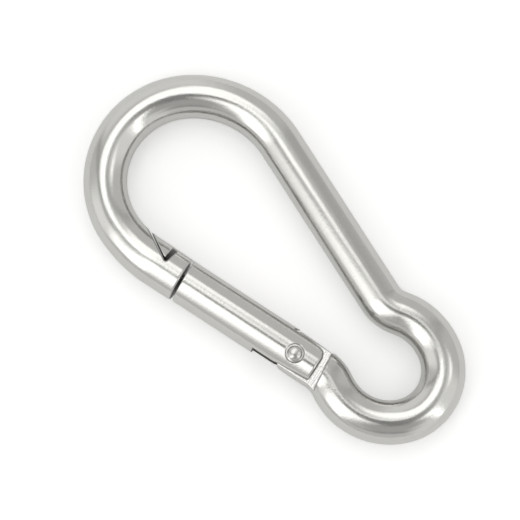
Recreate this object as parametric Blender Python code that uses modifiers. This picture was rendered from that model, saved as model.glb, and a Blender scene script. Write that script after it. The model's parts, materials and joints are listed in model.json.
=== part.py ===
"""Spring snap hook: a bent round bar, closed by a sprung gate that turns on a rivet.

The hook lies flat in the XY plane, with +X towards the small eye and the gate on the -Y side. Its origin is
the centre of its bounding box, in the middle of the bar. Units are metres.

The gate frame holds everything that belongs to the gate and to the bar's two ends. Its x axis is the gate
line, from abreast of the rivet towards the nose, y points out of the hook and z is up, so y below zero is
the inner side. The rivet stands a little outside the gate line, which gives the plunger its lever to shut
the gate.
"""

import math

import bmesh
import bpy
from mathutils import Matrix, Vector

MM = 0.001
SIDES = 24  # flats round a bar
STEP_DEG = 8.0  # longest turn of a bend between two of its rings
GAP = 0.3 * MM  # between pieces that rest on each other
OVERCUT = 1.0 * MM  # how far a cutter runs past what it cuts

# The bar. Bends are (radius of the centre line, turn in degrees), and a clockwise turn is positive.
BAR_RADIUS = 3.85 * MM
GATE_HEADING = 190.4  # direction of the gate line from the hinge to the nose, in degrees
BIG_EYE = ((21.5 * MM, 20.4), (15.1 * MM, 122.0), (18.3 * MM, 62.0))
EYE_NECK = (6.4 * MM, -39.0)
SMALL_EYE = ((11.2 * MM, 55.0), (9.05 * MM, 96.0), (10.8 * MM, 76.1))
HINGE_NECK = (7.0 * MM, -32.5)
RIVET_FROM_NECK = 4.65 * MM  # along the gate line, from the end of the hinge neck
RIVET_OUT = 0.3 * MM  # from the gate line to the rivet's axis
NOSE_SWELL = 0.06  # how much thicker the bar is at the nose, as a share of its radius
SWELL_FULL = 6.0 * MM  # from the nose, along the bar
SWELL_NONE = 14.0 * MM

# The nose of the bar, in the gate frame
NOSE_FACE = 23.7 * MM
FACE_LEAN = 2.5  # degrees by which both faces at the nose lean back
BEAK_TOP = 26.9 * MM
BEAK_ROOT = (27.2 * MM, -1.6 * MM)
NOTCH_BOTTOM = (28.05 * MM, -1.0 * MM)
RAMP_DEG = 31.0
SLOT_HALF = 2.2 * MM
SLOT_FLOOR = -0.4 * MM

# The hinge tang, in the gate frame
TANG_HALF = 1.85 * MM
SHOULDER = -5.7 * MM
SHOULDER_LEAN = 6.7
HEEL_RADIUS = 3.55 * MM  # about the rivet
HEEL_DEG = 63.0
CAM_START = 2.5 * MM  # from the rivet to the plunger's tip, along the gate, when it is shut
CAM_RISE = 1.35 * MM  # plunger travel for each radian of the gate
CAM_DEG = 50.0
CROWN = (0.9 * MM, -3.85 * MM)  # where the cam's end runs out of the bar
PLUNGER_GAP = 0.2 * MM

# The gate, in the gate frame
GATE_RADIUS = 3.95 * MM
GATE_TAIL = -4.6 * MM
GATE_NOSE = 23.2 * MM
FORK_HALF = 2.0 * MM
FORK_END = 6.6 * MM
BORE_RADIUS = 1.8 * MM
BORE_END = 19.0 * MM
EAR_CHAMFER = (1.9 * MM, 2.0 * MM)  # along the gate and across it
EAR_TAPER_START = 1.6 * MM
EAR_TAPER_Y = 2.9 * MM
TONGUE_HALF = 1.5 * MM
TONGUE_BOTTOM = -0.8 * MM
TOOTH_CATCH = 27.85 * MM
TOOTH_FOOT = -1.4 * MM
TOOTH_GAP = 0.2 * MM

# The rivet
RIVET_RADIUS = 1.25 * MM
RIVET_HOLE = 1.35 * MM
SPOT_RADIUS = 1.75 * MM
SPOT_FLOOR = 3.3 * MM
RIVET_BRIM = 1.6 * MM
RIVET_DOME = 1.2 * MM
RIVET_TOP = 4.05 * MM

# The plunger and its spring
PLUNGER_RADIUS = 1.6 * MM
PLUNGER_FLAT = 0.4 * MM  # radius of the flat on its tip
PLUNGER_CONE = 1.3 * MM  # length of the pointed end
PLUNGER_SEAT = 9.0 * MM
SPRING_RADIUS = 1.3 * MM  # to the middle of the wire
WIRE_RADIUS = 0.2 * MM
SPRING_TURNS = 9
SPRING_DEAD_TURNS = 1  # closed turns at each end
POINTS_PER_TURN = 14
WIRE_SIDES = 8


def clear_scene():
    for item in list(bpy.data.objects):
        bpy.data.objects.remove(item)


def new_collection(name):
    made = bpy.data.collections.new(name)
    bpy.context.scene.collection.children.link(made)
    return made


def metal(name, colour, roughness):
    """A bare metal."""
    made = bpy.data.materials.new(name)
    made.use_nodes = True
    shader = made.node_tree.nodes["Principled BSDF"]
    shader.inputs["Base Color"].default_value = (*colour, 1.0)
    shader.inputs["Metallic"].default_value = 1.0
    shader.inputs["Roughness"].default_value = roughness
    return made


# ---- The line of the bar ----


def unit(degrees):
    return Vector((math.cos(math.radians(degrees)), math.sin(math.radians(degrees)), 0.0))


def bend(start, heading, radius, turn):
    """The points of one bend after its start, and the heading at its end."""
    side = math.copysign(1.0, turn)
    centre = start + radius * unit(heading - side * 90.0)
    count = math.ceil(abs(turn) / STEP_DEG)
    headings = [heading - turn * step / count for step in range(1, count + 1)]
    return [centre + radius * unit(now + side * 90.0) for now in headings], heading - turn


def straight_lengths():
    """Lengths of the spine and of the gate line that close the outline."""
    place = Vector((0.0, 0.0, 0.0))
    heading = GATE_HEADING
    for radius, turn in BIG_EYE:
        points, heading = bend(place, heading, radius, turn)
        place = points[-1]
    along_spine = unit(heading)
    for radius, turn in (EYE_NECK, *SMALL_EYE, HINGE_NECK):
        points, heading = bend(place, heading, radius, turn)
        place = points[-1]
    along_gate = unit(GATE_HEADING)
    both = Matrix(((along_spine.x, along_gate.x), (along_spine.y, along_gate.y)))
    spine, gate = both.inverted() @ -place.xy
    return spine, gate


def bar_swell(points):
    """How much the bar is thickened at each point: most at the nose, fading out along the big eye."""
    swell = []
    travelled = 0.0
    for before, point in zip([points[0], *points], points):
        travelled += (point - before).length
        share = (SWELL_NONE - travelled) / (SWELL_NONE - SWELL_FULL)
        swell.append(1.0 + NOSE_SWELL * min(1.0, max(0.0, share)))
    return swell


def middle_of(points, swell):
    """The middle of the bar's outline, which is the hook's origin."""
    low, high = ([], [])
    for point, factor in zip(points, swell):
        edge = Vector((BAR_RADIUS * factor, BAR_RADIUS * factor, 0.0))
        low.append(point - edge)
        high.append(point + edge)
    corner = Vector((min(p.x for p in low), min(p.y for p in low), 0.0))
    opposite = Vector((max(p.x for p in high), max(p.y for p in high), 0.0))
    return (corner + opposite) / 2


def bar_line():
    """The bar's centre line from the nose to the hinge with its swell, and the rivet's centre."""
    spine, gate = straight_lengths()
    along_gate = unit(GATE_HEADING)
    abreast = RIVET_FROM_NECK * along_gate
    points = [abreast + (NOSE_FACE - OVERCUT) * along_gate, gate * along_gate]
    heading = GATE_HEADING
    for radius, turn in BIG_EYE:
        more, heading = bend(points[-1], heading, radius, turn)
        points += more
    points.append(points[-1] + spine * unit(heading))
    for radius, turn in (EYE_NECK, *SMALL_EYE, HINGE_NECK):
        more, heading = bend(points[-1], heading, radius, turn)
        points += more
    points.append(abreast + (HEEL_RADIUS + 2 * OVERCUT) * along_gate)
    swell = bar_swell(points)
    middle = middle_of(points, swell)
    rivet = abreast + RIVET_OUT * unit(GATE_HEADING + 90.0)
    return [p - middle for p in points], swell, rivet - middle


# ---- Shapes ----


def mesh_object(name, shape, group, material=None):
    """A new object that takes a bmesh as its mesh."""
    mesh = bpy.data.meshes.new(name)
    bmesh.ops.recalc_face_normals(shape, faces=shape.faces)
    shape.to_mesh(mesh)
    shape.free()
    made = bpy.data.objects.new(name, mesh)
    group.objects.link(made)
    if material:
        mesh.materials.append(material)
    return made


def corner_radius(radius, sides):
    """The radius of a polygon's corners that puts its flats on a circle."""
    return radius / math.cos(math.pi / sides)


def swept_bar(name, points, radius, sides, group, swell=None):
    """A bar of round section along a line of points, as a mesh, with flats of the section square to z."""
    curve = bpy.data.curves.new(f"{name}_line", "CURVE")
    curve.dimensions = "3D"
    curve.bevel_depth = corner_radius(radius, sides)
    curve.bevel_resolution = (sides - 4) // 2
    curve.use_fill_caps = True
    spline = curve.splines.new("POLY")
    spline.points.add(len(points) - 1)
    for target, place, factor in zip(spline.points, points, swell or [1.0] * len(points)):
        target.co = (*place, 1.0)
        target.radius = factor
        target.tilt = math.pi / sides
    line = bpy.data.objects.new(f"{name}_line", curve)
    group.objects.link(line)
    graph = bpy.context.evaluated_depsgraph_get()
    mesh = bpy.data.meshes.new_from_object(line.evaluated_get(graph))
    shape = bmesh.new()
    shape.from_mesh(mesh)
    bmesh.ops.remove_doubles(shape, verts=shape.verts, dist=0.001 * MM)
    made = mesh_object(name, shape, group)
    made.matrix_world = line.matrix_world.copy()
    bpy.data.objects.remove(line)
    return made


def rod(name, radius, start, end, group, material=None, axis="X"):
    """A straight round bar along x or z, with flats square to the axes."""
    corner = corner_radius(radius, SIDES)
    shape = bmesh.new()
    bmesh.ops.create_cone(
        shape, cap_ends=True, segments=SIDES, radius1=corner, radius2=corner, depth=end - start
    )
    turn = Matrix.Rotation(math.pi / SIDES, 4, "Z")
    if axis == "X":
        turn = Matrix.Rotation(math.pi / 2, 4, "Y") @ turn
    middle = (start + end) / 2
    shift = Matrix.Translation((middle, 0, 0) if axis == "X" else (0, 0, middle))
    bmesh.ops.transform(shape, matrix=shift @ turn, verts=shape.verts)
    return mesh_object(name, shape, group, material)


def slab(name, outline, low, high, group):
    """A flat outline of (x, y) points made solid between two heights."""
    shape = bmesh.new()
    corners = [shape.verts.new((x, y, low)) for x, y in outline]
    face = shape.faces.new(corners)
    raised = bmesh.ops.extrude_face_region(shape, geom=[face])["geom"]
    top = [item for item in raised if isinstance(item, bmesh.types.BMVert)]
    bmesh.ops.translate(shape, verts=top, vec=(0, 0, high - low))
    return mesh_object(name, shape, group)


def box(name, low, high, group):
    """A block between two corners."""
    shape = bmesh.new()
    bmesh.ops.create_cube(shape, size=1.0)
    low, high = Vector(low), Vector(high)
    fit = Matrix.Translation((low + high) / 2) @ Matrix.Diagonal((*(high - low), 1.0))
    bmesh.ops.transform(shape, matrix=fit, verts=shape.verts)
    return mesh_object(name, shape, group)


def turned(name, profile, group, material):
    """A turned piece about z. The profile is (radius, height), from its top on the axis to its foot."""
    shape = bmesh.new()
    verts = [shape.verts.new((radius, 0, height)) for radius, height in profile]
    for first, second in zip(verts, verts[1:]):
        shape.edges.new((first, second))
    made = mesh_object(name, shape, group, material)
    screw = made.modifiers.new("Turn", "SCREW")
    screw.steps = SIDES
    screw.render_steps = SIDES
    screw.use_merge_vertices = True
    screw.merge_threshold = 0.001 * MM
    return made


def boolean(piece, operation, other):
    modifier = piece.modifiers.new(f"{operation.title()} {other.name}", "BOOLEAN")
    modifier.operation = operation
    modifier.object = other
    modifier.solver = "EXACT"


def hold(piece, hinge, about_rivet=False):
    """Puts a piece under the hinge: its own origin is the gate frame's, or the rivet's centre."""
    piece.parent = hinge
    piece.location = (0, 0 if about_rivet else -RIVET_OUT, 0)


def hide(cutters):
    for cutter in cutters.objects:
        cutter.hide_render = True
        cutter.display_type = "WIRE"


# ---- Outlines in the gate frame ----


def lean(x, degrees, reach):
    """Two points of a line through (x, 0) that leans by some degrees: the outer one, then the inner."""
    slip = reach * math.tan(math.radians(degrees))
    return (x - slip, reach), (x + slip, -reach)


def ramp_end(start, reach):
    """Where a line from a point at the ramp's slope passes the inner side of the bar."""
    return start[0] + (reach + start[1]) / math.tan(math.radians(RAMP_DEG)), -reach


def notch_outline(reach):
    """The V notch behind the beak, open to the inner side."""
    beak_end = (BEAK_TOP, -reach)
    return NOTCH_BOTTOM, BEAK_ROOT, (BEAK_TOP, -BAR_RADIUS), beak_end, ramp_end(NOTCH_BOTTOM, reach)


def tooth_outline(reach):
    """The gate's wedge in the notch. Its sloping side stands clear of the ramp, and its foot is blunt."""
    slope = math.radians(RAMP_DEG)
    ramp_x = NOTCH_BOTTOM[0] + (NOTCH_BOTTOM[1] - TOOTH_FOOT) / math.tan(slope)
    toe = (ramp_x - TOOTH_GAP / math.sin(slope), TOOTH_FOOT)
    return (TOOTH_CATCH, TOOTH_FOOT - TOOTH_GAP), toe, ramp_end(toe, reach), (TOOTH_CATCH, -reach)


def about_rivet(degrees, along, inward=0.0):
    """A point of the gate that lies along and inward from the rivet, once the gate has opened by an angle."""
    angle = math.radians(degrees)
    x = along * math.cos(angle) - inward * math.sin(angle)
    return x, RIVET_OUT - along * math.sin(angle) - inward * math.cos(angle)


def tang_end_outline(reach):
    """What is cut from the bar to leave the tang's round heel and the cam that the plunger rides on."""
    heel = [about_rivet(-angle, HEEL_RADIUS) for angle in (90.0, 81.0, 72.0, HEEL_DEG)]
    steps = 10
    turns = [CAM_DEG * step / steps for step in range(steps + 1)]
    cam = [about_rivet(turn, CAM_START + CAM_RISE * math.radians(turn), RIVET_OUT) for turn in turns]
    crown = (CROWN, (CROWN[0] - 2 * OVERCUT, -reach))
    far = HEEL_RADIUS + 3 * OVERCUT
    return ((-2 * OVERCUT, reach), *heel, *cam, *crown, (far, -reach), (far, reach))


def ear_taper_outline(reach):
    """What is cut from the outer side of the ears, so that the tang shows beside them."""
    lip = math.sqrt(GATE_RADIUS**2 - FORK_HALF**2)
    slope = (lip - EAR_TAPER_Y) / (EAR_TAPER_START - GATE_TAIL)
    start = EAR_TAPER_START + (reach - lip) / slope
    end = GATE_TAIL - OVERCUT
    return (end, EAR_TAPER_Y - slope * OVERCUT), (start, reach), (end, reach)


def ear_chamfer_outline(reach):
    """What is cut from the inner corner of the ears, so that they swing past the shoulder."""
    along, across = EAR_CHAMFER
    steep = across / along
    side, inner = GATE_TAIL - OVERCUT, -GATE_RADIUS + across + OVERCUT * steep
    foot = GATE_TAIL + along + (reach - GATE_RADIUS) / steep
    return (side, inner), (foot, -reach), (side, -reach)


# ---- Pieces ----


def build_body(line, swell, hinge, group, cutters, steel):
    """The bent bar, with its notched beak at the nose and its flat tang at the hinge."""
    reach = BAR_RADIUS + OVERCUT
    body = swept_bar("body", line, BAR_RADIUS, SIDES, group, swell)
    body.data.materials.append(steel)
    before = NOSE_FACE - 3 * OVERCUT
    face = (*lean(NOSE_FACE, FACE_LEAN, reach), (before, -reach), (before, reach))
    outer, inner = lean(SHOULDER, SHOULDER_LEAN, reach)
    past = HEEL_RADIUS + 3 * OVERCUT
    flat = (inner, outer, (past, reach), (past, -reach))
    slot_low = (NOSE_FACE - OVERCUT, -reach, -SLOT_HALF)
    slot_high = (NOTCH_BOTTOM[0] + GAP, SLOT_FLOOR, SLOT_HALF)
    tools = [
        slab("nose_face_cutter", face, -reach, reach, cutters),
        slab("notch_cutter", notch_outline(reach), -reach, reach, cutters),
        box("tongue_slot_cutter", slot_low, slot_high, cutters),
        slab("tang_top_cutter", flat, TANG_HALF, reach, cutters),
        slab("tang_bottom_cutter", flat, -reach, -TANG_HALF, cutters),
        slab("tang_end_cutter", tang_end_outline(reach), -reach, reach, cutters),
    ]
    for tool in tools:
        hold(tool, hinge)
    hole = rod("hinge_hole_cutter", RIVET_HOLE, -reach, reach, cutters, axis="Z")
    hold(hole, hinge, about_rivet=True)
    for tool in (*tools, hole):
        boolean(body, "DIFFERENCE", tool)
    return body


def build_gate_tooth(line, swell, hinge, cutters, reach):
    """The toothed tongue as it is cut from the same bar as the nose, so that the two are flush."""
    bar = swept_bar("tooth_bar", line, BAR_RADIUS, SIDES, cutters, swell)
    tooth = slab("tooth", tooth_outline(reach), -reach, reach, cutters)
    low = (GATE_NOSE - OVERCUT, -reach, -TONGUE_HALF)
    tongue = box("tongue", low, (TOOTH_CATCH + TOOTH_GAP, TONGUE_BOTTOM, TONGUE_HALF), cutters)
    for piece in (tooth, tongue):
        hold(piece, hinge)
    boolean(tooth, "UNION", tongue)
    boolean(tooth, "INTERSECT", bar)
    return tooth


def build_gate(line, swell, hinge, group, cutters, steel):
    """The gate: a round bar, forked at the hinge and drilled for its spring, with a toothed tongue."""
    reach = GATE_RADIUS + OVERCUT
    gate = rod("gate", GATE_RADIUS, GATE_TAIL, GATE_NOSE + OVERCUT, group, steel)
    hold(gate, hinge)
    past = GATE_NOSE + 3 * OVERCUT
    face = (*reversed(lean(GATE_NOSE, FACE_LEAN, reach)), (past, reach), (past, -reach))
    fork_low = (GATE_TAIL - OVERCUT, -reach, -FORK_HALF)
    tools = [
        slab("gate_face_cutter", face, -reach, reach, cutters),
        box("fork_cutter", fork_low, (FORK_END, reach, FORK_HALF), cutters),
        rod("bore_cutter", BORE_RADIUS, FORK_END - OVERCUT, BORE_END, cutters),
        slab("ear_taper_cutter", ear_taper_outline(reach), -reach, reach, cutters),
        slab("ear_chamfer_cutter", ear_chamfer_outline(reach), -reach, reach, cutters),
    ]
    for tool in tools:
        hold(tool, hinge)
    holes = [
        rod("rivet_hole_cutter", RIVET_HOLE, -reach, reach, cutters, axis="Z"),
        rod("top_spot_cutter", SPOT_RADIUS, SPOT_FLOOR, reach, cutters, axis="Z"),
        rod("bottom_spot_cutter", SPOT_RADIUS, -reach, -SPOT_FLOOR, cutters, axis="Z"),
    ]
    for hole in holes:
        hold(hole, hinge, about_rivet=True)
    for tool in (*tools, *holes):
        boolean(gate, "DIFFERENCE", tool)
    boolean(gate, "UNION", build_gate_tooth(line, swell, hinge, cutters, reach))
    return gate


def build_rivet(hinge, group, steel):
    """The hinge pin, with a domed head in each ear's spot face."""
    seat = SPOT_FLOOR + GAP / 2
    brim = SPOT_FLOOR + GAP
    rise = RIVET_TOP - brim
    upper = []
    for degrees in (0, 30, 60, 90):
        angle = math.radians(degrees)
        upper.append((RIVET_DOME * math.sin(angle), brim + rise * math.cos(angle)))
    upper += [(RIVET_BRIM, brim), (RIVET_BRIM, seat), (RIVET_RADIUS, seat)]
    lower = [(radius, -height) for radius, height in reversed(upper)]
    rivet = turned("hinge_rivet", upper + lower, group, steel)
    hold(rivet, hinge, about_rivet=True)
    return rivet


def build_plunger(hinge, group, steel):
    """The pin that the spring pushes against the tang's cam. It slides in the gate's bore."""
    tip = CAM_START + PLUNGER_GAP
    profile = [
        (0, PLUNGER_SEAT),
        (PLUNGER_RADIUS, PLUNGER_SEAT),
        (PLUNGER_RADIUS, tip + PLUNGER_CONE),
        (PLUNGER_FLAT, tip),
        (0, tip),
    ]
    plunger = turned("gate_plunger", profile, group, steel)
    hold(plunger, hinge)
    plunger.rotation_euler = (0, math.pi / 2, 0)
    return plunger


def build_spring(hinge, group, steel):
    """The coil spring between the plunger and the bottom of the bore, with a closed turn at each end."""
    start = PLUNGER_SEAT + GAP / 2 + WIRE_RADIUS
    end = BORE_END - GAP / 2 - WIRE_RADIUS
    closed_pitch = 2 * WIRE_RADIUS + GAP / 3
    last_open = SPRING_TURNS - SPRING_DEAD_TURNS
    open_length = end - start - 2 * SPRING_DEAD_TURNS * closed_pitch
    open_pitch = open_length / (last_open - SPRING_DEAD_TURNS)
    points = []
    for step in range(SPRING_TURNS * POINTS_PER_TURN + 1):
        turns = step / POINTS_PER_TURN
        opened = min(max(turns - SPRING_DEAD_TURNS, 0), last_open - SPRING_DEAD_TURNS)
        x = start + opened * open_pitch + (turns - opened) * closed_pitch
        angle = 2 * math.pi * turns
        points.append(Vector((x, SPRING_RADIUS * math.cos(angle), SPRING_RADIUS * math.sin(angle))))
    spring = swept_bar("gate_spring", points, WIRE_RADIUS, WIRE_SIDES, group)
    spring.data.materials.append(steel)
    hold(spring, hinge)
    return spring


def main():
    clear_scene()
    parts = new_collection("snap_hook")
    cutters = new_collection("cutters")
    polished = metal("polished_steel", (0.62, 0.61, 0.59), 0.14)
    ground = metal("ground_steel", (0.58, 0.57, 0.55), 0.22)
    pin_steel = metal("pin_steel", (0.60, 0.59, 0.57), 0.2)
    spring_steel = metal("spring_steel", (0.50, 0.50, 0.50), 0.25)
    line, swell, rivet_centre = bar_line()
    hinge = bpy.data.objects.new("hinge", None)
    hinge.location = rivet_centre
    hinge.rotation_euler = (0, 0, math.radians(GATE_HEADING))
    parts.objects.link(hinge)
    pieces = [
        build_body(line, swell, hinge, parts, cutters, polished),
        build_gate(line, swell, hinge, parts, cutters, ground),
        build_rivet(hinge, parts, pin_steel),
        build_plunger(hinge, parts, pin_steel),
        build_spring(hinge, parts, spring_steel),
    ]
    for piece in pieces:
        piece.data.shade_smooth()
        piece.data.set_sharp_from_angle(angle=math.radians(35))
    hide(cutters)


main()
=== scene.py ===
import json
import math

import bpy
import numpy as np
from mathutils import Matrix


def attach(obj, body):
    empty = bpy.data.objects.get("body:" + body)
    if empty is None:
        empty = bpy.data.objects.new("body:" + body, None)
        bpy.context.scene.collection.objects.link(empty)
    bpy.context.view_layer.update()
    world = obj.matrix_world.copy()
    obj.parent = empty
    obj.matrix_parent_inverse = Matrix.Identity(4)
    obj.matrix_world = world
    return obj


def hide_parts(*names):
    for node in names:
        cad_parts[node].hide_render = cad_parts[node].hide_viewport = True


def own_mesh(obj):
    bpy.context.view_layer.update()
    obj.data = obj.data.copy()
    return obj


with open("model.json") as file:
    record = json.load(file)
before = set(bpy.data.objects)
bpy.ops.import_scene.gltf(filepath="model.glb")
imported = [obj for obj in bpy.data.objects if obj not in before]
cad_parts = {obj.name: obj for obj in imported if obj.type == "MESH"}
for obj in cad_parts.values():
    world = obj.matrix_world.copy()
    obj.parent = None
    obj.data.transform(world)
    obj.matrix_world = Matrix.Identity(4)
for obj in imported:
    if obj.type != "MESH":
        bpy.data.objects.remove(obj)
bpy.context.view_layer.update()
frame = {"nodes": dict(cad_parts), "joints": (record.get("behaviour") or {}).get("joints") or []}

# Looks of the spring snap hook: its five pieces in polished steel, a white floor and a soft light tent.
#
# The body and the gate are distance fields: functions that give, for any place, how far it is outside the
# surface. A field becomes a mesh on a fine grid, and then every vertex is moved onto the exact surface. The
# rivet and the plunger are turned from profiles, and the spring is wound.
#
# All of it is written in the gate frame, in millimetres: x runs along the gate line from abreast of the rivet
# to the nose, y points out of the hook and z is up.

import openvdb
from mathutils import Matrix, Quaternion, Vector

MM = 0.001

# The bar's line, as in the CAD. Bends are (radius, turn in degrees), and a clockwise turn is positive.
BAR_RADIUS = 3.85
BIG_EYE = ((21.5, 20.4), (15.1, 122.0), (18.3, 62.0))
EYE_NECK = (6.4, -39.0)
SMALL_EYE = ((11.2, 55.0), (9.05, 96.0), (10.8, 76.1))
HINGE_NECK = (7.0, -32.5)
RIVET_FROM_NECK = 4.65
RIVET_OUT = 0.3
NOSE_SWELL = 0.06  # the bar is this share thicker at the nose
SWELL_FULL = 6.0
SWELL_NONE = 14.0
LINE_START = 22.7  # both ends of the line lie inside what is cut away
LINE_END = 5.5

# The nose of the bar
NOSE_FACE = 23.7
FACE_LEAN = 2.5
BEAK_TOP = 26.9
BEAK_ROOT = (27.2, -1.6)
RAMP_START = (28.05, -1.0)
RAMP_DEG = 31.0
SLOT_START = 18.0
SLOT_HALF = 2.2
SLOT_FLOOR = -0.4
NOSE_CUT_START = 16.0

# The hinge tang
TANG_HALF = 1.85
SHOULDER = -5.7
SHOULDER_LEAN = 6.7
HEEL_RADIUS = 3.55
HEEL_DEG = 63.0
CAM_START = 2.5
CAM_RISE = 1.35
CAM_DEG = 50.0
CROWN = (1.15, -3.85)
CROWN_SLOPE = 2.0
TANG_SIDE = ((-5.5, -3.42), (1.2, -3.9))  # the line that its inner side is taken down to

# The gate
GATE_RADIUS = 3.95
GATE_TAIL = -4.6
GATE_NOSE = 23.2
FORK_HALF = 2.0
FORK_END = 6.6
FORK_SWEEP = 4.45  # the fork's inner side is closed beyond the round that the tang sweeps
BORE_RADIUS = 1.8
BORE_END = 19.0
EAR_CORNER = 2.4
EAR_CORNER_IN = 0.4
EAR_TAPER_START = 1.6
EAR_TAPER_Y = 2.9
TONGUE_HALF = 1.5
TONGUE_BOTTOM = -0.8
TONGUE_ROOT = 0.4  # how far the tongue starts inside the gate
TONGUE_SPARE = 0.6  # how far its outline runs past the catch, where the ramp ends it
TOOTH_CATCH = 27.85
TOOTH_FOOT = -1.4
TOOTH_GAP = 0.24
TOOTH_SWELL = 0.02

# The rivet, the plunger and the spring
RIVET_RADIUS = 1.25
RIVET_HOLE = 1.35
SPOT_RADIUS = 1.65
SPOT_FLOOR = 3.3
RIVET_BRIM = 1.6
RIVET_DOME = 1.2
RIVET_TOP = 4.05
GAP = 0.3
PLUNGER_GAP = 0.2
PLUNGER_RADIUS = 1.6
PLUNGER_FLAT = 0.4
PLUNGER_CONE = 1.3
PLUNGER_SEAT = 9.0
SPRING_RADIUS = 1.3
WIRE_RADIUS = 0.2
SPRING_TURNS = 9

# Rounding of the edges, as radii
CUT_EDGE = 0.08
BEAK_EDGE = 0.3
GATE_EDGE = 0.18
NOTCH_EDGE = 0.05
SLOT_EDGE = 0.3
SPOT_EDGE = 0.1
TOOTH_EDGE = 0.25
EAR_EDGE = 0.6
RIVET_EDGE = 0.06
PLUNGER_EDGE = 0.2
NOTCH_FILLET = 0.65
TOOTH_FILLET = 0.1
TONGUE_FILLET = 0.15

# How far cutters reach
REACH = 12.0  # an outline past the bar
NOTCH_REACH = 6.0  # clear of the bar at the nose, and short of the big eye
FLATS_REACH = 5.0
HEEL_REACH = 2.0
FORK_REACH = 4.0
CUT_FADE = 0.3  # how fast the cuts at the ears leave the rod, away from the tail

# The meshes
BODY_VOXEL = 0.17
GATE_VOXEL = 0.13
GRID_MARGIN = 3  # voxels around a node's box
SURFACE_STEPS = 3
SLOPE_STEP = 0.01
SLOPE_FLOOR = 0.25
HEEL_STEPS = 8
CAM_STEPS = 24
DOME_STEPS = 12
EDGE_STEPS = 5
TURN_STEPS = 96
SPRING_STEPS = 40  # in one turn

# Painted shade in gaps, creases and recesses, as (strength, width): it is strongest at a face or an edge, and
# none is left a width away
NOTCH_SHADE = (0.85, 0.26)
SHOULDER_SHADE = (0.7, 0.16)
CHEEK_SHADE = (0.85, 0.1)
NOSE_SHADE = (0.6, 0.15)
EAR_SHADE = (0.78, 0.34)
GATE_NOSE_SHADE = (0.6, 0.1)
RAMP_SHADE = (0.85, 0.14)
FORK_SHADE = 0.9
TONGUE_SHADE = 0.42
TONGUE_TIP_SHADE = 0.9
NOTCH_UNSHADED = 0.5  # the notch's far end gets no painted shade, because it is clear of the bar
SHOULDER_SHADE_HALF = 4.0
CHEEK_DEPTH = 0.25  # how far inside the bar's surface the slot's cheeks keep their painted shade
FORK_DEPTH = 0.3
SHADE_OVERLAP = 0.1

# Materials
MILLED_WIDTH = 0.02
TONGUE_WIDTH = 0.05
MILLED_START = SHOULDER - 2.0
GRAIN_STRETCH = 0.06  # the grain is this much slower along its lines
BUMP = 0.00002
MILLED_COLOUR = (0.86, 0.855, 0.84)
# The dark, matt colour and roughness of the painted shade in gaps and creases
PAINTED_SHADE_COLOUR = (0.09, 0.086, 0.08)
PAINTED_SHADE_ROUGHNESS = 0.3
WORN_SHADE = 0.93
SHEEN_RANGE = (1.3, 0.8)  # a worn patch is this much rougher, and a clean one this much smoother
POLISHED = (0.695, 0.69, 0.667)
PIN_COLOUR = (0.66, 0.65, 0.635)
WIRE_COLOUR = (0.5, 0.5, 0.5)

# The camera looks almost straight down, at the hook as it lies
VIEW_TILT = 8.3
HOOK_TURN = 43.69  # by which +X points below the picture's horizontal
VIEW_WIDTH = 90.76
VIEW_CENTRE = (-2.70, -2.24)
VIEW_ANGLE = 12.0

# The floor, in metres across and with its height in millimetres
FLOOR_HALF = 3.0
FLOOR_Z = -4.09
FLOOR_WHITE = 0.9
FLOOR_GLOW = 0.3  # what lifts the floor to a plain white sheet, seen by the camera alone

# The light tent. Each panel is (azimuth, zenith, roll, half length, half width, blur, light), in degrees, and
# adds to or takes from the tent's own light.
TENT_LIGHT = 0.64
TENT_COLOUR = (1.0, 0.995, 0.985)
TENT_PANELS = (
    (104.0, 25.0, -61.0, 23.0, 13.0, 5.0, 0.9),
    (120.0, 7.0, 0.0, 6.0, 9.0, 3.0, 0.55),
    (-140.0, 43.0, -5.0, 31.0, 11.0, 5.0, 1.12),
    (-169.0, 60.0, 0.0, 24.0, 14.0, 8.0, 0.35),
    (-37.0, 52.0, 0.0, 30.0, 3.5, 3.5, 1.2),
    (-18.0, 52.0, 0.0, 36.0, 16.0, 8.0, 0.24),
    (10.0, 35.0, 0.0, 7.0, 6.0, 5.0, 0.75),
    (-50.0, 74.0, 0.0, 24.0, 18.0, 8.0, 0.2),
    (112.0, 72.0, 0.0, 25.0, 30.0, 10.0, 0.2),
    (-84.0, 34.0, 0.0, 30.0, 20.0, 8.0, -0.17),
    (-75.0, 10.0, 0.0, 14.0, 10.0, 5.0, -0.2),
    (-90.0, 62.0, 90.0, 30.0, 4.0, 5.0, -0.17),
    (42.0, 47.0, 0.0, 34.0, 3.0, 4.0, -0.18),
    (192.0, 12.0, 0.0, 16.0, 3.0, 3.0, -0.32),
    (155.0, 50.0, -14.0, 28.0, 3.0, 3.5, -0.25),
)


def gate_frame():
    """The matrix from the gate frame in millimetres to the CAD's frame, from the CAD's own joints."""
    joints = {joint["name"]: joint for joint in frame["joints"]}
    rivet = Vector(joints["gate_hinge"]["pos_m"])
    along = Vector(joints["plunger_slide"]["axis"])
    up = Vector((0.0, 0.0, 1.0))
    outward = up.cross(along)
    origin = rivet - RIVET_OUT * MM * outward
    turn = Matrix((along, outward, up)).transposed().to_4x4()
    return Matrix.Translation(origin) @ turn @ Matrix.Scale(MM, 4)


GATE = gate_frame()


# ---- The bar's line, as straight and round stretches in plan ----


def unit(degrees):
    return np.array((math.cos(math.radians(degrees)), math.sin(math.radians(degrees))))


def straight_lengths():
    """Lengths of the spine and of the gate line that close the outline."""
    place = np.zeros(2)
    heading = 0.0
    for radius, turn in BIG_EYE:
        place, heading = bend_end(place, heading, radius, turn)
    spine_heading = heading
    for radius, turn in (EYE_NECK, *SMALL_EYE, HINGE_NECK):
        place, heading = bend_end(place, heading, radius, turn)
    sides = np.column_stack((unit(spine_heading), unit(0.0)))
    return np.linalg.solve(sides, -place)


def bend_centre(start, heading, radius, turn):
    return start + radius * unit(heading - math.copysign(90.0, turn))


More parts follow.
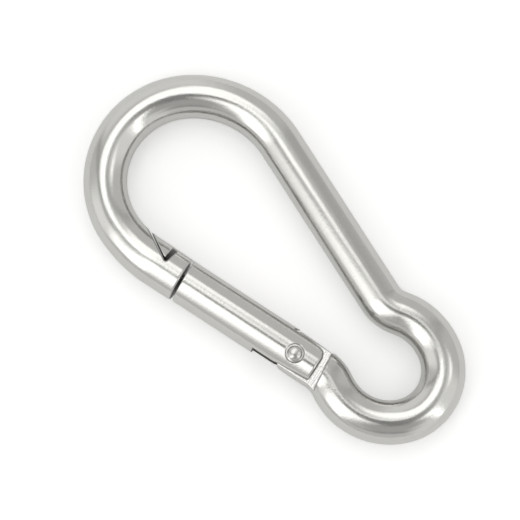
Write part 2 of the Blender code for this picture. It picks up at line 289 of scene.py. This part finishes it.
def bend_end(start, heading, radius, turn):
    centre = bend_centre(start, heading, radius, turn)
    return centre + radius * unit(heading - turn + math.copysign(90.0, turn)), heading - turn


def bar_stretches():
    """The bar's line from the nose to the hinge: ("line", start, heading, length) and ("bend", ...)."""
    spine, gate = straight_lengths()
    neck_end = np.array((-RIVET_FROM_NECK, 0.0))
    place = np.array((LINE_START, 0.0))
    straight = gate - RIVET_FROM_NECK - LINE_START
    stretches = [("line", place, 0.0, straight)]
    place = place + straight * unit(0.0)
    heading = 0.0
    bends = [*BIG_EYE, None, EYE_NECK, *SMALL_EYE, HINGE_NECK]
    for bend in bends:
        if bend is None:
            stretches.append(("line", place, heading, spine))
            place = place + spine * unit(heading)
        else:
            stretches.append(("bend", place, heading, *bend))
            place, heading = bend_end(place, heading, *bend)
    stretches.append(("line", neck_end, 0.0, RIVET_FROM_NECK + LINE_END))
    return stretches


STRETCHES = bar_stretches()


def near_line(x, y, start, heading, length):
    """Distance in plan from a straight stretch, and how far along it the nearest point is. The distance is
    negative on the stretch's right."""
    ahead = unit(heading)
    along = np.clip((x - start[0]) * ahead[0] + (y - start[1]) * ahead[1], 0.0, length)
    off = np.hypot(x - start[0] - along * ahead[0], y - start[1] - along * ahead[1])
    side = (y - start[1]) * ahead[0] - (x - start[0]) * ahead[1]
    return np.copysign(off, side), along


def near_bend(x, y, start, heading, radius, turn):
    """The same for a bend."""
    side = math.copysign(1.0, turn)
    centre = bend_centre(start, heading, radius, turn)
    span = math.radians(abs(turn))
    first = math.radians(heading + side * 90.0)
    angle = side * (first - np.arctan2(y - centre[1], x - centre[0]))
    middle = span / 2
    angle = (angle - middle + math.pi) % (2 * math.pi) - math.pi + middle
    angle = np.clip(angle, 0.0, span)
    nearest = first - side * angle
    off = np.hypot(x - centre[0] - radius * np.cos(nearest), y - centre[1] - radius * np.sin(nearest))
    out = np.hypot(x - centre[0], y - centre[1]) - radius
    return np.copysign(off, side * out), angle * radius


def bar_place(x, y):
    """Distance in plan from the bar's line, and how far along it the nearest point is, from the nose. The
    distance is negative on the line's right."""
    best = np.inf
    travelled = np.zeros(1)
    passed = 0.0
    for kind, start, heading, *size in STRETCHES:
        measure = near_line if kind == "line" else near_bend
        off, along = measure(x, y, start, heading, *size)
        closer = np.abs(off) < np.abs(best)
        travelled = np.where(closer, passed + along, travelled)
        best = np.where(closer, off, best)
        passed += size[0] if kind == "line" else size[0] * math.radians(abs(size[1]))
    return best, travelled


def bar(x, y, z):
    """Distance outside the round bar, which swells towards the nose."""
    off, travelled = bar_place(x, y)
    share = (SWELL_NONE - travelled) / (SWELL_NONE - SWELL_FULL)
    share = np.clip(share, 0.0, 1.0)
    share = share * share * (3 - 2 * share)
    return np.hypot(off, z) - BAR_RADIUS * (1 + NOSE_SWELL * share)


# ---- Joining and cutting fields ----


def both(a, b, radius=0.0):
    """What two solids share, with the edge between them rounded."""
    if not radius:
        return np.maximum(a, b)
    round_part = np.hypot(np.maximum(a + radius, 0.0), np.maximum(b + radius, 0.0))
    return np.minimum(np.maximum(a, b), -radius) + round_part


def joined(a, b, radius=0.0):
    """Two solids together, with a fillet between them."""
    return -both(-a, -b, radius)


def cut(a, b, radius=0.0):
    """The first solid without the second, with the edge rounded."""
    return both(a, -b, radius)


def outline(x, y, corners):
    """Distance in plan outside a closed outline."""
    best = np.inf
    inside = np.zeros(np.broadcast(x, y).shape, bool)
    for (ax, ay), (bx, by) in zip(corners, corners[1:] + corners[:1]):
        ex, ey = bx - ax, by - ay
        wx, wy = x - ax, y - ay
        share = np.clip((wx * ex + wy * ey) / (ex * ex + ey * ey), 0.0, 1.0)
        best = np.minimum(best, np.hypot(wx - ex * share, wy - ey * share))
        if ey:
            inside ^= ((ay > y) != (by > y)) & (wx < wy * ex / ey)
    return np.where(inside, -best, best)


def half_plane(x, y, point, degrees):
    """Distance in plan past a line through a point, on the side that a heading points to."""
    ahead = unit(degrees)
    return (x - point[0]) * ahead[0] + (y - point[1]) * ahead[1]


def arc(centre, radius, start, end, count):
    """Points of an arc between two headings."""
    return [tuple(centre + radius * unit(start + (end - start) * i / count)) for i in range(count + 1)]


# ---- The body ----


def notch(x, y):
    """The V behind the beak."""
    wall_heading = 180.0 - math.degrees(math.atan2(BEAK_ROOT[0] - BEAK_TOP, BEAK_ROOT[1] + BAR_RADIUS))
    wall = half_plane(x, y, BEAK_ROOT, wall_heading)
    ramp = half_plane(x, y, RAMP_START, 90.0 - RAMP_DEG)
    return both(both(wall, ramp, NOTCH_FILLET), -NOTCH_REACH - y)


def tang_end(x, y):
    """What is cut from the bar to leave the tang's round heel and the cam that the plunger rides on."""
    rivet = np.array((0.0, RIVET_OUT))
    heel = arc(rivet, HEEL_RADIUS, 90.0, HEEL_DEG, HEEL_STEPS)
    cam = []
    for step in range(CAM_STEPS + 1):
        turn = CAM_DEG * step / CAM_STEPS
        along = CAM_START + CAM_RISE * math.radians(turn)
        cam.append(tuple(rivet + along * unit(-turn) + RIVET_OUT * unit(-turn - 90.0)))
    far = LINE_END + REACH
    inner = [CROWN, (CROWN[0] - CROWN_SLOPE, -REACH), (far, -REACH)]
    outer = [(far, REACH), (-HEEL_REACH, REACH)]
    return outline(x, y, [*heel, *cam, *inner, *outer])


def body_field(x, y, z):
    """Distance outside the bar with its nose and its tang."""
    nose_cut = [(NOSE_CUT_START, REACH), (NOSE_CUT_START, -REACH), *lean(NOSE_FACE, FACE_LEAN)]
    shape = cut(bar(x, y, z), outline(x, y, nose_cut), BEAK_EDGE)
    shape = cut(shape, notch(x, y), NOTCH_EDGE)
    slot_plan = outline(x, y, box_outline(SLOT_START, RAMP_START[0] + GAP, -REACH, SLOT_FLOOR))
    shape = cut(shape, both(slot_plan, np.abs(z) - SLOT_HALF, CUT_EDGE), SLOT_EDGE)
    far = LINE_END + FLATS_REACH
    flats = outline(x, y, [*lean(SHOULDER, SHOULDER_LEAN), (far, REACH), (far, -REACH)])
    shape = cut(shape, both(flats, TANG_HALF - np.abs(z), CUT_EDGE), CUT_EDGE)
    far = LINE_END + REACH
    side = outline(x, y, [*TANG_SIDE, (far, TANG_SIDE[1][1]), (far, -REACH), (TANG_SIDE[0][0], -REACH)])
    shape = cut(shape, side, CUT_EDGE)
    shape = cut(shape, tang_end(x, y), CUT_EDGE)
    hole = np.hypot(x, y - RIVET_OUT) - RIVET_HOLE
    return cut(shape, hole, CUT_EDGE)


def body_marks(x, y, z):
    """How much painted shade each place of the body gets, how milled it is, and its place in the drawn bar's
    grain.
    """
    # Painted shade: the notch's V, the tang's shoulder crease, the slot's cheeks and the gap at the nose's
    # face are darkened where shade falls
    walls = shaded_by(notch(x, y), NOTCH_SHADE) * (y > NOTCH_UNSHADED - NOTCH_REACH)
    shoulder = shaded_by(half_plane(x, y, (SHOULDER, 0.0), SHOULDER_LEAN), SHOULDER_SHADE)
    shoulder = shoulder * (np.abs(z) > TANG_HALF - MILLED_WIDTH) * (np.abs(y) < SHOULDER_SHADE_HALF)
    beak = (x > NOSE_FACE - 1.0) * (x < TOOTH_CATCH) * (y < SLOT_FLOOR) * (y > -NOTCH_REACH)
    cheek = shaded_by(np.abs(z) - SLOT_HALF, CHEEK_SHADE) * beak * (np.hypot(y, z) > BAR_RADIUS - CHEEK_DEPTH)
    face = shaded_by(half_plane(x, y, (NOSE_FACE, 0.0), FACE_LEAN), NOSE_SHADE) * (np.abs(y) < NOTCH_REACH)
    shading = np.max((walls, shoulder, cheek, face), axis=0)
    tang = (x > MILLED_START) * (x < LINE_END) * (np.abs(y) < NOTCH_REACH)
    milled = near(np.abs(z) - TANG_HALF, MILLED_WIDTH) * tang
    off, travelled = bar_place(x, y)
    return shading, milled, np.stack((travelled * GRAIN_STRETCH, off, z), axis=1)


def near(distance, width):
    """From 1 where a distance is less than a third of a width to 0 where it is more than the width."""
    return np.clip(1.5 - 1.5 * np.abs(distance) / width, 0.0, 1.0)


def shaded_by(distance, painted_shade):
    """How much painted shade a place gets by its distance from the face or edge that shade of a strength and
    width lies along.
    """
    strength, width = painted_shade
    return strength * near(distance, width)


def lean(x, degrees):
    """Two points of a line through (x, 0) that leans: the inner one, then the outer."""
    slip = REACH * math.tan(math.radians(degrees))
    return (x + slip, -REACH), (x - slip, REACH)


def box_outline(x_low, x_high, y_low, y_high):
    return [(x_low, y_low), (x_high, y_low), (x_high, y_high), (x_low, y_high)]


# ---- The gate ----


def tooth_field(x, y, z):
    """The gate's tongue and its wedge, cut from the bar's own round shape."""
    ramp = tooth_ramp(x, y)
    wedge = both(ramp, TOOTH_CATCH - x, CUT_EDGE)
    wedge = both(wedge, y - TOOTH_FOOT, CUT_EDGE)
    ends = (GATE_NOSE - TONGUE_ROOT, TOOTH_CATCH + TONGUE_SPARE)
    tongue = outline(x, y, box_outline(*ends, -REACH, TONGUE_BOTTOM))
    tongue = both(tongue, ramp)
    tongue = both(tongue, np.abs(z) - TONGUE_HALF, CUT_EDGE)
    skin = np.hypot(y, z) - GATE_RADIUS - TOOTH_SWELL * np.maximum(x - GATE_NOSE, 0.0)
    return both(joined(wedge, tongue, TOOTH_FILLET), np.maximum(bar(x, y, z), skin), TOOTH_EDGE)


def tooth_ramp(x, y):
    """Distance in plan past the wedge's slope, which lies a gap away from the notch's own ramp."""
    slope = math.radians(RAMP_DEG)
    toe_x = RAMP_START[0] + (RAMP_START[1] - TOOTH_FOOT) / math.tan(slope) - TOOTH_GAP / math.sin(slope)
    return half_plane(x, y, (toe_x, TOOTH_FOOT), 90.0 - RAMP_DEG)


def ears_cut(x, y):
    """What is cut from the ears in plan: a taper on the outer side and round corners at the tail."""
    lip = math.sqrt(GATE_RADIUS**2 - FORK_HALF**2)
    slope = (lip - EAR_TAPER_Y) / (EAR_TAPER_START - GATE_TAIL)
    taper = half_plane(x, y, (EAR_TAPER_START, lip), 90.0 + math.degrees(math.atan(slope)))
    taper = taper - CUT_FADE * np.maximum(x - EAR_TAPER_START, 0.0)
    back = GATE_TAIL + EAR_CORNER - x
    inward = EAR_CORNER + EAR_CORNER_IN - GATE_RADIUS - y
    round_part = np.hypot(np.maximum(back, 0.0), np.maximum(inward, 0.0))
    corner = round_part + np.minimum(np.maximum(back, inward), 0.0) - EAR_CORNER
    return taper, corner - CUT_FADE * np.maximum(-back, 0.0)


def gate_field(x, y, z):
    """Distance outside the gate."""
    rod = np.hypot(y, z) - GATE_RADIUS
    face = half_plane(x, y, (GATE_NOSE, 0.0), FACE_LEAN)
    shape = both(rod, face, GATE_EDGE)
    taper, corner = ears_cut(x, y)
    shape = both(shape, GATE_TAIL - x, EAR_EDGE)
    shape = both(shape, corner, EAR_EDGE)
    shape = both(shape, taper, EAR_EDGE)
    shape = joined(shape, tooth_field(x, y, z), TONGUE_FILLET)
    fork = outline(x, y, box_outline(GATE_TAIL - FORK_REACH, FORK_END, -REACH, REACH))
    web = both(FORK_SWEEP - np.hypot(x, y - RIVET_OUT), y + FORK_HALF)
    fork = cut(fork, both(web, -x))
    shape = cut(shape, both(fork, np.abs(z) - FORK_HALF), CUT_EDGE)
    bore = both(np.hypot(y, z) - BORE_RADIUS, x - BORE_END)
    shape = cut(shape, bore, CUT_EDGE)
    hole = np.hypot(x, y - RIVET_OUT) - RIVET_HOLE
    shape = cut(shape, hole, CUT_EDGE)
    spot = both(np.hypot(x, y - RIVET_OUT) - SPOT_RADIUS, SPOT_FLOOR - np.abs(z), SPOT_EDGE)
    return cut(shape, spot, SPOT_EDGE)


def gate_marks(x, y, z):
    """The same for the gate, whose grain runs around it."""
    taper, corner = ears_cut(x, y)
    # Painted shade: the ears' tail edges, the fork slot, the gap at the nose, the ramp's gap and the tongue's
    # sides are darkened where shade falls
    edge = np.maximum(np.maximum(taper, corner), GATE_TAIL - x)
    ears = shaded_by(edge, EAR_SHADE) * (x < EAR_TAPER_START)
    inside = (np.hypot(y, z) < GATE_RADIUS - FORK_DEPTH) | (y > 0.0)
    fork = (np.abs(z) < FORK_HALF + SHADE_OVERLAP) * (x < FORK_END + SHADE_OVERLAP) * inside
    face = shaded_by(half_plane(x, y, (GATE_NOSE, 0.0), FACE_LEAN), GATE_NOSE_SHADE)
    face = face * (np.hypot(y, z) < GATE_RADIUS - SHADE_OVERLAP)
    ramp = shaded_by(tooth_ramp(x, y), RAMP_SHADE) * (x > GATE_NOSE + 1.0)
    tongue = near(np.abs(z) - TONGUE_HALF, TONGUE_WIDTH) * (x > GATE_NOSE)
    sides = tongue * np.where(x > BEAK_TOP, TONGUE_TIP_SHADE, TONGUE_SHADE)
    shading = np.max((ears, FORK_SHADE * fork, face, ramp, sides), axis=0)
    return shading, tongue, np.stack((x, y * GRAIN_STRETCH, z * GRAIN_STRETCH), axis=1)


# ---- From a field to a mesh ----


def slopes(field, points):
    """The field at each point and its gradient."""
    x, y, z = points.T
    value = field(x, y, z)
    gradient = np.empty_like(points)
    for axis in range(3):
        step = np.zeros(3)
        step[axis] = SLOPE_STEP
        ahead = field(*(points + step).T)
        behind = field(*(points - step).T)
        gradient[:, axis] = (ahead - behind) / (2 * SLOPE_STEP)
    return value, gradient


def mesh_from_field(name, field, marks, node, voxel):
    """A smooth mesh of where the field is zero, around a CAD node. Its vertices and normals follow the exact
    surface, and marks(x, y, z) gives what its material needs to know at each vertex."""
    corners = [GATE.inverted() @ vertex.co for vertex in frame["nodes"][node].data.vertices]
    low = np.min(corners, axis=0) - GRID_MARGIN * voxel
    high = np.max(corners, axis=0) + GRID_MARGIN * voxel
    counts = [int(math.ceil((b - a) / voxel)) + 1 for a, b in zip(low, high)]
    x = (low[0] + voxel * np.arange(counts[0]))[:, None, None]
    y = (low[1] + voxel * np.arange(counts[1]))[None, :, None]
    z = (low[2] + voxel * np.arange(counts[2]))[None, None, :]
    grid = openvdb.FloatGrid(1.0)
    grid.copyFromArray(np.clip(field(x, y, z), -1.0, 1.0).astype(np.float32))
    points, quads = grid.convertToQuads(0.0)
    points = points.astype(float) * voxel + np.array(low)
    for _ in range(SURFACE_STEPS):
        value, gradient = slopes(field, points)
        steepness = np.maximum(np.sum(gradient**2, axis=1), SLOPE_FLOOR)
        points -= np.clip(value / steepness, -voxel, voxel)[:, None] * gradient
    _, gradient = slopes(field, points)
    normals = gradient / np.linalg.norm(gradient, axis=1)[:, None]
    turn = np.array(GATE, float)
    world = points @ turn[:3, :3].T + turn[:3, 3]
    normals = normals @ turn[:3, :3].T / MM
    mesh = bpy.data.meshes.new(name)
    mesh.from_pydata(world, [], quads.tolist())
    mesh.shade_smooth()
    mesh.normals_split_custom_set_from_vertices(normals.tolist())
    # Each vertex carries its painted shade for gaps and creases, how milled it is and its grain
    painted_shade, milled, grain = marks(*points.T)
    mesh.attributes.new("painted_shade", "FLOAT", "POINT").data.foreach_set("value", painted_shade)
    mesh.attributes.new("milled", "FLOAT", "POINT").data.foreach_set("value", milled)
    mesh.attributes.new("grain", "FLOAT_VECTOR", "POINT").data.foreach_set("vector", np.ravel(grain))
    return show(bpy.data.objects.new(name, mesh))


def show(piece):
    bpy.context.scene.collection.objects.link(piece)
    return piece


def turned(name, profile):
    """A piece turned around the z axis. Its profile is (radius, height), from the top down its outer side."""
    mesh = bpy.data.meshes.new(name)
    edges = [(i, i + 1) for i in range(len(profile) - 1)]
    mesh.from_pydata([(radius, 0.0, height) for radius, height in profile], edges, [])
    piece = show(bpy.data.objects.new(name, mesh))
    screw = piece.modifiers.new("turn", "SCREW")
    screw.steps = TURN_STEPS
    screw.render_steps = TURN_STEPS
    screw.use_merge_vertices = True
    screw.merge_threshold = 0.0001
    settle(piece)
    return piece


def settle(piece):
    """Applies a piece's modifiers."""
    evaluated = piece.evaluated_get(bpy.context.evaluated_depsgraph_get())
    mesh = bpy.data.meshes.new_from_object(evaluated)
    piece.modifiers.clear()
    piece.data = mesh


def rounded(corners, radius):
    """A profile with its inner corners rounded."""
    points = [corners[0]]
    for before, corner, after in zip(corners, corners[1:], corners[2:]):
        a, b, c = (np.array(point, float) for point in (before, corner, after))
        back = (a - b) / np.linalg.norm(a - b)
        ahead = (c - b) / np.linalg.norm(c - b)
        reach = min(radius, np.linalg.norm(a - b) / 2, np.linalg.norm(c - b) / 2)
        for step in range(EDGE_STEPS + 1):
            share = step / EDGE_STEPS
            spot = b + back * reach * (1 - share) ** 2 + ahead * reach * share**2
            points.append(tuple(spot))
    return [*points, corners[-1]]


def from_gate_frame(piece, extra=Matrix.Identity(4)):
    """Moves a smooth piece from the gate frame to the CAD's."""
    piece.data.transform(GATE @ extra)
    piece.data.shade_smooth()
    return piece


def build_body():
    return mesh_from_field("hook_body", body_field, body_marks, "body", BODY_VOXEL)


def build_gate():
    return mesh_from_field("gate_lever", gate_field, gate_marks, "gate", GATE_VOXEL)


def build_rivet():
    """A shank with a domed head on a brim at each end."""
    brim = SPOT_FLOOR + GAP
    seat = SPOT_FLOOR + GAP / 2
    rise = RIVET_TOP - brim
    dome = [(0.0, RIVET_TOP)]
    for step in range(1, DOME_STEPS + 1):
        angle = math.radians(90.0 * step / DOME_STEPS)
        dome.append((RIVET_DOME * math.sin(angle), brim + rise * math.cos(angle)))
    collar = [(RIVET_DOME, brim), (RIVET_BRIM, brim), (RIVET_BRIM, seat), (RIVET_RADIUS, seat)]
    upper = [*dome, *rounded(collar, RIVET_EDGE)[1:]]
    profile = upper + [(radius, -height) for radius, height in reversed(upper)]
    rivet = turned("rivet", profile)
    return from_gate_frame(rivet, Matrix.Translation((0.0, RIVET_OUT, 0.0)))


def build_plunger():
    """A pin whose pointed tip rides on the tang's cam."""
    tip = CAM_START + PLUNGER_GAP
    profile = [
        (0.0, PLUNGER_SEAT),
        (PLUNGER_RADIUS, PLUNGER_SEAT),
        (PLUNGER_RADIUS, tip + PLUNGER_CONE),
        (PLUNGER_FLAT, tip),
        (0.0, tip),
    ]
    plunger = turned("plunger", rounded(profile, PLUNGER_EDGE))
    return from_gate_frame(plunger, Matrix.Rotation(math.pi / 2, 4, "Y"))


def build_spring():
    """A compression spring whose first and last turns are closed."""
    start = PLUNGER_SEAT + GAP / 2 + WIRE_RADIUS
    end = BORE_END - GAP / 2 - WIRE_RADIUS
    closed_pitch = 2 * WIRE_RADIUS + GAP / 3
    open_turns = SPRING_TURNS - 2
    open_pitch = (end - start - 2 * closed_pitch) / open_turns
    points = []
    for step in range(SPRING_TURNS * SPRING_STEPS + 1):
        turns = step / SPRING_STEPS
        opened = min(max(turns - 1, 0), open_turns)
        along = start + opened * open_pitch + (turns - opened) * closed_pitch
        angle = 2 * math.pi * turns
        points.append((along, SPRING_RADIUS * math.cos(angle), SPRING_RADIUS * math.sin(angle), 1.0))
    curve = bpy.data.curves.new("spring_line", "CURVE")
    curve.dimensions = "3D"
    curve.bevel_depth = WIRE_RADIUS
    curve.bevel_resolution = 4
    curve.use_fill_caps = True
    spline = curve.splines.new("POLY")
    spline.points.add(len(points) - 1)
    for target, point in zip(spline.points, points):
        target.co = point
    wire = show(bpy.data.objects.new("spring_line", curve))
    mesh = bpy.data.meshes.new_from_object(wire.evaluated_get(bpy.context.evaluated_depsgraph_get()))
    bpy.data.objects.remove(wire)
    spring = from_gate_frame(show(bpy.data.objects.new("coil_spring", mesh)))
    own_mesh(spring)
    return spring


# ---- Materials ----


def add_node(tree, kind, **values):
    """A node with its inputs set by name. A value that is a socket is linked."""
    node = tree.nodes.new(kind)
    for name, value in values.items():
        socket = node.inputs[name.replace("_", " ")]
        if isinstance(value, bpy.types.NodeSocket):
            tree.links.new(value, socket)
        else:
            socket.default_value = value
    return node


def spread(tree, value, low, high):
    """A number from 0 to 1 stretched to run from low to high."""
    return add_node(tree, "ShaderNodeMapRange", Value=value, To_Min=low, To_Max=high).outputs["Result"]


def steel(name, colour, roughness, texture):
    """Steel with its own surface texture, under painted shade that turns it dark and matt in gaps and
    creases.
    texture(tree, spot) gives heights and patches, from the spot in the CAD's frame in millimetres."""
    made = bpy.data.materials.new(name)
    made.use_nodes = True
    tree = made.node_tree
    shader = tree.nodes["Principled BSDF"]
    spot = scaled(tree, tree.nodes.new("ShaderNodeTexCoord").outputs["Object"], 1 / MM)
    height, patches = texture(tree, spot)
    # The painted shade takes away the metal and its shine and darkens the colour where shade falls in gaps
    # and creases
    painted_shade = marked(tree, "painted_shade", "Fac")
    tree.links.new(spread(tree, painted_shade, 1.0, 0.0), shader.inputs["Metallic"])
    tree.links.new(spread(tree, painted_shade, 0.5, 0.0), shader.inputs["Specular IOR Level"])
    worn = mixed(tree, patches, [WORN_SHADE * part for part in colour], colour)
    worn = mixed(tree, marked(tree, "milled", "Fac"), worn, MILLED_COLOUR)
    tree.links.new(mixed(tree, painted_shade, worn, PAINTED_SHADE_COLOUR), shader.inputs["Base Color"])
    sheen = spread(tree, patches, *(roughness * share for share in SHEEN_RANGE))
    rough = maths(tree, "ADD", sheen, spread(tree, painted_shade, 0.0, PAINTED_SHADE_ROUGHNESS))
    tree.links.new(rough, shader.inputs["Roughness"])
    bump = add_node(tree, "ShaderNodeBump", Height=height, Distance=BUMP, Strength=1.0)
    tree.links.new(bump.outputs["Normal"], shader.inputs["Normal"])
    return made


def mixed(tree, share, low, high):
    """A colour between two others, each given as a colour or as a socket."""
    node = tree.nodes.new("ShaderNodeMix")
    node.data_type = "RGBA"
    tree.links.new(share, node.inputs["Factor"])
    for socket, value in ((node.inputs[6], low), (node.inputs[7], high)):
        if isinstance(value, bpy.types.NodeSocket):
            tree.links.new(value, socket)
        else:
            socket.default_value = (*value, 1.0)
    return node.outputs[2]


def marked(tree, name, output):
    """What the mesh knows at each vertex under a name."""
    node = tree.nodes.new("ShaderNodeAttribute")
    node.attribute_name = name
    return node.outputs[output]


def scaled(tree, vector, factor):
    node = tree.nodes.new("ShaderNodeVectorMath")
    node.operation = "SCALE"
    tree.links.new(vector, node.inputs[0])
    node.inputs["Scale"].default_value = factor
    return node.outputs["Vector"]


def noise(tree, spot, scale, detail=2.0):
    return add_node(tree, "ShaderNodeTexNoise", Vector=spot, Scale=scale, Detail=detail).outputs["Fac"]


def blended(tree, *parts):
    """The sum of values, each with its weight."""
    total = None
    for value, weight in parts:
        part = maths(tree, "MULTIPLY", value, weight)
        total = part if total is None else maths(tree, "ADD", total, part)
    return total


def ripples(tree, value, per_mm):
    """Parallel cutter lines across the way a value grows."""
    return maths(tree, "SINE", maths(tree, "MULTIPLY", value, 2 * math.pi * per_mm))


def milling(tree, spot, per_mm):
    """Cutter lines across the gate line, where the mesh is milled."""
    along = dot(tree, spot, Vector(GATE.col[0][:3]) / MM)
    return maths(tree, "MULTIPLY", ripples(tree, along, per_mm), marked(tree, "milled", "Fac"))


def drawn_texture(tree, spot):
    """Bent from drawn bar and tumbled: orange peel, fine grain, lengthwise streaks and a milled tang."""
    peel = noise(tree, spot, scale=0.8)
    fine = noise(tree, spot, scale=4.5)
    streaks = noise(tree, marked(tree, "grain", "Vector"), scale=3.0, detail=3.0)
    lines = milling(tree, spot, per_mm=2.6)
    height = blended(tree, (peel, 0.25), (fine, 0.7), (streaks, 0.35), (lines, 0.04))
    return height, blended(tree, (peel, 0.5), (streaks, 0.5))


def turned_texture(tree, spot):
    """Turned and polished: faint rings around the gate under fine grain, with cutter lines on the tongue."""
    rings = noise(tree, marked(tree, "grain", "Vector"), scale=3.5, detail=3.0)
    fine = noise(tree, spot, scale=4.5)
    lines = milling(tree, spot, per_mm=2.2)
    height = blended(tree, (rings, 0.12), (fine, 0.55), (lines, 0.1))
    return height, noise(tree, spot, scale=0.6)


def pin_texture(tree, spot):
    """Lathe marks in rings around the middle of the hinge, with small dents."""
    offset = add_node(tree, "ShaderNodeVectorMath")
    offset.operation = "DISTANCE"
    tree.links.new(spot, offset.inputs[0])
    offset.inputs[1].default_value = Vector(GATE.translation) / MM
    rings = ripples(tree, offset.outputs["Value"], per_mm=4.0)
    dents = noise(tree, spot, scale=1.6)
    fine = noise(tree, spot, scale=6.0)
    return blended(tree, (rings, 0.03), (dents, 0.5), (fine, 0.2)), dents


def wire_texture(tree, spot):
    """Drawing marks and patches of oxide on the spring wire."""
    patches = noise(tree, spot, scale=2.2, detail=4.0)
    fine = noise(tree, spot, scale=9.0)
    return blended(tree, (fine, 0.5), (patches, 0.3)), patches


def build_materials():
    """The materials by the record's slots."""
    return {
        "polished_steel": steel("polished_steel", POLISHED, 0.09, drawn_texture),
        "ground_steel": steel("ground_steel", POLISHED, 0.09, turned_texture),
        "pin_steel": steel("pin_steel", PIN_COLOUR, 0.2, pin_texture),
        "spring_steel": steel("spring_steel", WIRE_COLOUR, 0.25, wire_texture),
    }


# ---- Floor, light and camera ----


def picture_axes():
    """The picture's right and up directions, flat on the floor."""
    turn = math.radians(HOOK_TURN)
    right = Vector((math.cos(turn), math.sin(turn), 0.0))
    up = Vector((-math.sin(turn), math.cos(turn), 0.0))
    return right, up


def build_floor():
    mesh = bpy.data.meshes.new("floor")
    corners = [(x, y, 0.0) for x, y in box_outline(-FLOOR_HALF, FLOOR_HALF, -FLOOR_HALF, FLOOR_HALF)]
    mesh.from_pydata(corners, [], [(0, 1, 2, 3)])
    floor = show(bpy.data.objects.new("floor", mesh))
    floor.location.z = FLOOR_Z * MM
    made = bpy.data.materials.new("floor_white")
    made.use_nodes = True
    shader = made.node_tree.nodes["Principled BSDF"]
    shader.inputs["Base Color"].default_value = (FLOOR_WHITE, FLOOR_WHITE, FLOOR_WHITE, 1.0)
    shader.inputs["Roughness"].default_value = 0.9
    shader.inputs["Specular IOR Level"].default_value = 0.1
    shader.inputs["Emission Color"].default_value = (1.0, 1.0, 1.0, 1.0)
    seen = made.node_tree.nodes.new("ShaderNodeLightPath").outputs["Is Camera Ray"]
    glow = maths(made.node_tree, "MULTIPLY", seen, FLOOR_GLOW)
    made.node_tree.links.new(glow, shader.inputs["Emission Strength"])
    mesh.materials.append(made)


def towards(azimuth, zenith):
    """A direction by its azimuth, from the picture's right to its top, and its angle from straight up."""
    right, up = picture_axes()
    azimuth, zenith = math.radians(azimuth), math.radians(zenith)
    flat = math.cos(azimuth) * right + math.sin(azimuth) * up
    return math.sin(zenith) * flat + math.cos(zenith) * Vector((0.0, 0.0, 1.0))


def build_world():
    """A pale tent with soft bright windows and darker patches. Seen by the camera itself it is white."""
    world = bpy.data.worlds.new("light_tent")
    bpy.context.scene.world = world
    world.use_nodes = True
    tree = world.node_tree
    heading = tree.nodes.new("ShaderNodeTexCoord").outputs["Generated"]
    total = None
    for panel in TENT_PANELS:
        light = panel_light(tree, heading, *panel)
        total = light if total is None else maths(tree, "ADD", total, light)
    seen = tree.nodes.new("ShaderNodeLightPath").outputs["Is Camera Ray"]
    total = maths(tree, "MAXIMUM", maths(tree, "ADD", total, TENT_LIGHT), seen)
    background = tree.nodes["Background"]
    background.inputs["Color"].default_value = (*TENT_COLOUR, 1.0)
    tree.links.new(total, background.inputs["Strength"])


def maths(tree, operation, *values):
    node = tree.nodes.new("ShaderNodeMath")
    node.operation = operation
    for socket, value in zip(node.inputs, values):
        if isinstance(value, bpy.types.NodeSocket):
            tree.links.new(value, socket)
        else:
            socket.default_value = value
    return node.outputs["Value"]


def panel_light(tree, heading, azimuth, zenith, roll, half_length, half_width, blur, light):
    """The light of one soft-edged panel. Without roll, its length runs up and down the tent."""
    centre = towards(azimuth, zenith)
    length = (towards(azimuth, zenith + 1.0) - centre).normalized()
    length.rotate(Quaternion(centre, math.radians(roll)))
    width = centre.cross(length)
    ahead = dot(tree, heading, centre)
    shown = maths(tree, "GREATER_THAN", ahead, 0.0)
    for axis, half in ((length, half_length), (width, half_width)):
        angle = maths(tree, "ARCTAN2", maths(tree, "ABSOLUTE", dot(tree, heading, axis)), ahead)
        edge = tree.nodes.new("ShaderNodeMapRange")
        edge.interpolation_type = "SMOOTHSTEP"
        edge.inputs["From Min"].default_value = math.radians(half + blur)
        edge.inputs["From Max"].default_value = math.radians(half - blur)
        tree.links.new(angle, edge.inputs["Value"])
        shown = maths(tree, "MULTIPLY", shown, edge.outputs["Result"])
    return maths(tree, "MULTIPLY", shown, light)


def dot(tree, heading, axis):
    node = tree.nodes.new("ShaderNodeVectorMath")
    node.operation = "DOT_PRODUCT"
    tree.links.new(heading, node.inputs[0])
    node.inputs[1].default_value = axis
    return node.outputs["Value"]


def build_camera():
    data = bpy.data.cameras.new("camera")
    camera = show(bpy.data.objects.new("camera", data))
    right, up = picture_axes()
    tilt = math.radians(VIEW_TILT)
    data.angle = math.radians(VIEW_ANGLE)
    distance = VIEW_WIDTH * MM / 2 / math.tan(math.radians(VIEW_ANGLE) / 2)
    back = math.cos(tilt) * Vector((0.0, 0.0, 1.0)) - math.sin(tilt) * up
    target = Vector((VIEW_CENTRE[0] * MM, VIEW_CENTRE[1] * MM, 0.0))
    camera.location = target + distance * back
    picture_up = back.cross(right)
    turn = Matrix((right, picture_up, back)).transposed()
    camera.rotation_euler = turn.to_euler()
    data.clip_start = 0.01
    data.clip_end = 20.0
    bpy.context.scene.camera = camera
    bpy.context.scene.view_settings.view_transform = "Standard"


def main():
    materials = build_materials()
    pieces = (
        (build_body(), "body", "hook", "polished_steel"),
        (build_gate(), "gate", "gate", "ground_steel"),
        (build_rivet(), "hinge_rivet", "gate", "pin_steel"),
        (build_plunger(), "gate_plunger", "plunger", "pin_steel"),
        (build_spring(), "gate_spring", "gate", "spring_steel"),
    )
    for piece, node, body, slot in pieces:
        piece.data.materials.append(materials[slot])
        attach(piece, body)
        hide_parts(node)
    build_floor()
    build_world()
    build_camera()


main()
